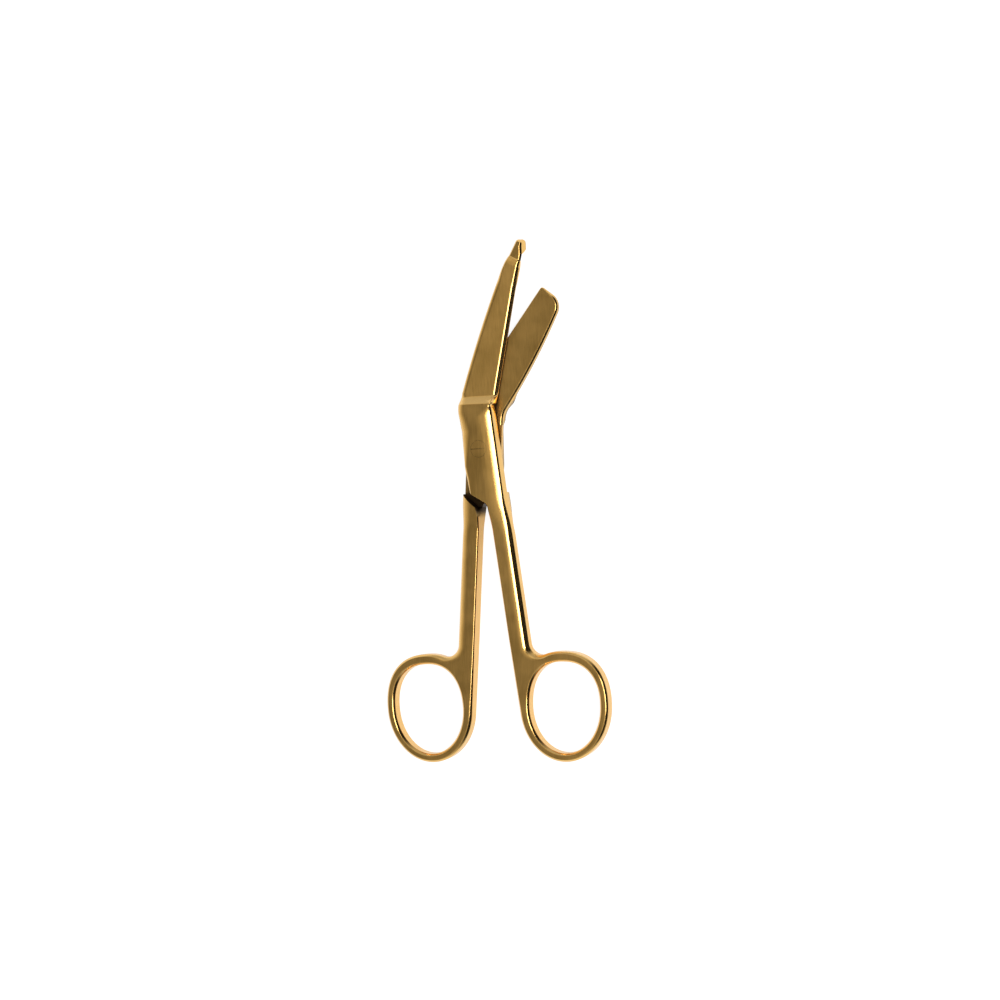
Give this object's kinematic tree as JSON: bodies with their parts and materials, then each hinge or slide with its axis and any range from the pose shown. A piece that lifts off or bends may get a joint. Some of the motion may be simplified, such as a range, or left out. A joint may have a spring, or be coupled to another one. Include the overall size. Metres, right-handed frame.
{
  "type": "bandage scissors",
  "caption": "Angled bandage scissors with ring handles, a long blade ending in a blunt probe, a shorter plain blade and a flush pivot screw.",
  "frame": {"origin": "on the pivot's axis, in the flat back face of the joint that the scissors lie on", "axes": "+Z along the pivot, up from the rest surface; +Y along the line midway between the handles, towards the blades; +X towards the side that the blades lean to"},
  "size_m": [0.0646, 0.1395, 0.0072],
  "materials": {
    "probe_half": "gold-plated steel, satin faces and polished edges",
    "plain_half": "gold-plated steel, satin faces and polished edges",
    "screw": "gold-plated steel, ground flush"
  },
  "bodies": {
    "rear_half": {"plain_blade_half": "plain_half", "pivot_screw": "screw"},
    "front_half": {"probe_blade_half": "probe_half"}
  },
  "joints": [
    {"name": "pivot", "type": "hinge", "parent": "rear_half", "child": "front_half", "pos_m": [0, 0, 0], "axis": [0, 0, 1], "range_deg": [-9, 40]}
  ]
}
